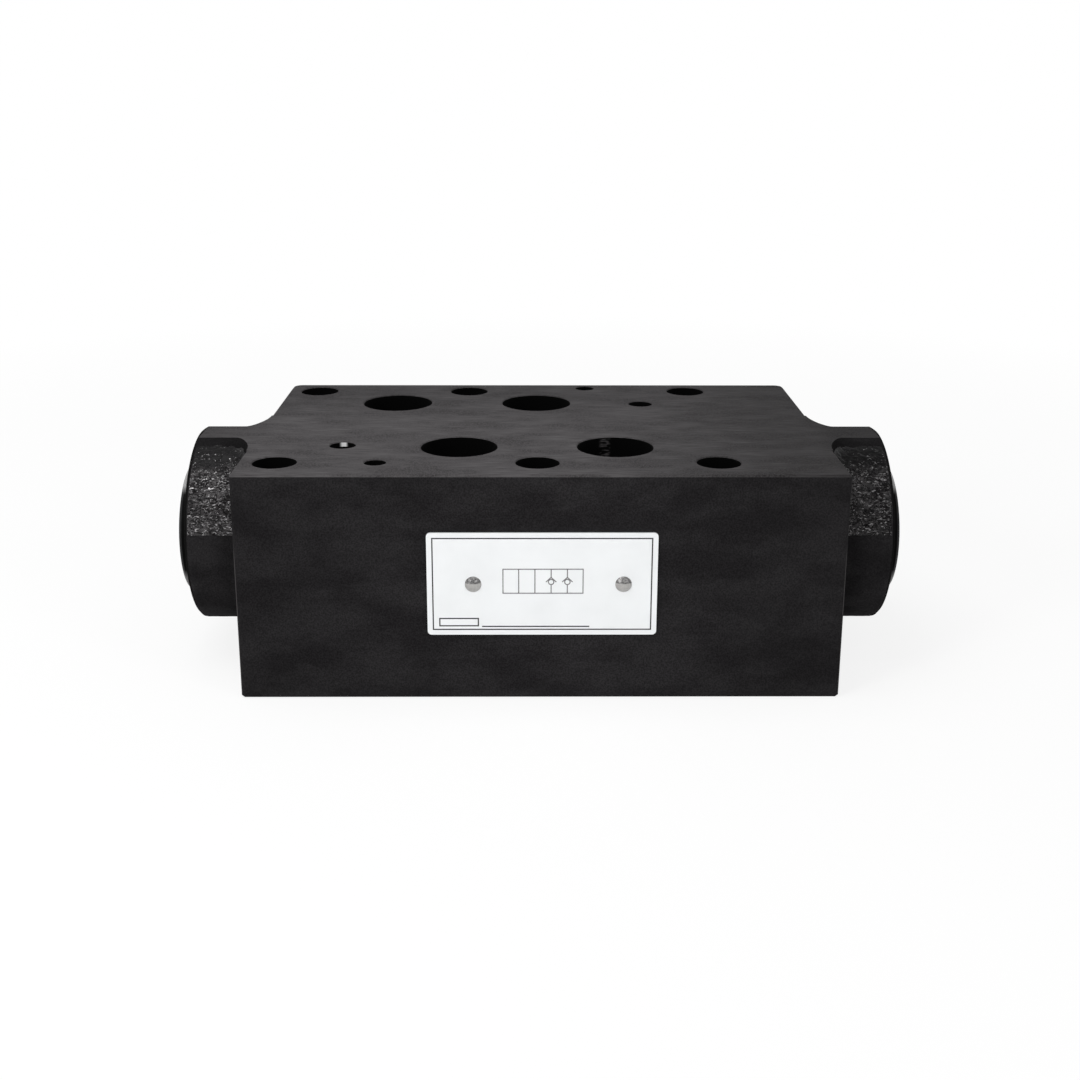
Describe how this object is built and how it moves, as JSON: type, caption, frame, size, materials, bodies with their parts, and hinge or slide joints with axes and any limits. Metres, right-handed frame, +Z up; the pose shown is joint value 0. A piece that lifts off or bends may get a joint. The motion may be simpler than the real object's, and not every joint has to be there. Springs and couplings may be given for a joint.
{
  "type": "sandwich check valve manifold block",
  "caption": "Cast sandwich valve block with ported top and bottom faces, round end bosses closed by screw plugs, and pilot-operated check valves inside.",
  "frame": {"origin": "middle of the block on its underside", "axes": "+X along the valve bore, -Y out of the face with the nameplate, +Z up out of the ported top face"},
  "size_m": [0.2226, 0.1172, 0.069],
  "materials": {
    "casting": "black phosphated cast iron, ports face milled",
    "plug_steel": "blackened turned steel",
    "hardened_steel": "ground",
    "spring_steel": "drawn wire",
    "seal_rubber": "moulded nitrile",
    "backup_ring": "turned",
    "nameplate": "white printed sheet",
    "rivet_steel": "plain"
  },
  "bodies": {
    "valve_block": {"valve_body": "casting", "nameplate": "nameplate", "end_plug_left": "plug_steel", "plug_seal_left": "seal_rubber", "seat_sleeve_left": "hardened_steel", "seat_seal_left": "seal_rubber", "seat_backup_ring_left": "backup_ring", "poppet_spring_left": "spring_steel", "nameplate_rivet_left": "rivet_steel", "end_plug_right": "plug_steel", "plug_seal_right": "seal_rubber", "seat_sleeve_right": "hardened_steel", "seat_seal_right": "seal_rubber", "seat_backup_ring_right": "backup_ring", "poppet_spring_right": "spring_steel", "nameplate_rivet_right": "rivet_steel", "port_seal_p": "seal_rubber", "port_seal_t": "seal_rubber", "port_seal_a": "seal_rubber", "port_seal_b": "seal_rubber", "pilot_seal_x": "seal_rubber", "pilot_seal_y": "seal_rubber"},
    "pilot_piston": {"pilot_piston": "hardened_steel"},
    "check_poppet_left": {"check_poppet_left": "hardened_steel"},
    "check_poppet_right": {"check_poppet_right": "hardened_steel"}
  },
  "joints": [
    {"name": "pilot_piston_slide", "type": "slide", "parent": "valve_block", "child": "pilot_piston", "axis": [1, 0, 0], "range_m": [-0.0027, 0.0027]},
    {"name": "poppet_left_lift", "type": "slide", "parent": "valve_block", "child": "check_poppet_left", "axis": [-1, 0, 0], "range_m": [0, 0.006], "stiffness_N_per_m": 2500, "springref_m": -0.005, "deforming": ["poppet_spring_left"]},
    {"name": "poppet_right_lift", "type": "slide", "parent": "valve_block", "child": "check_poppet_right", "axis": [1, 0, 0], "range_m": [0, 0.006], "stiffness_N_per_m": 2500, "springref_m": -0.005, "deforming": ["poppet_spring_right"]}
  ]
}
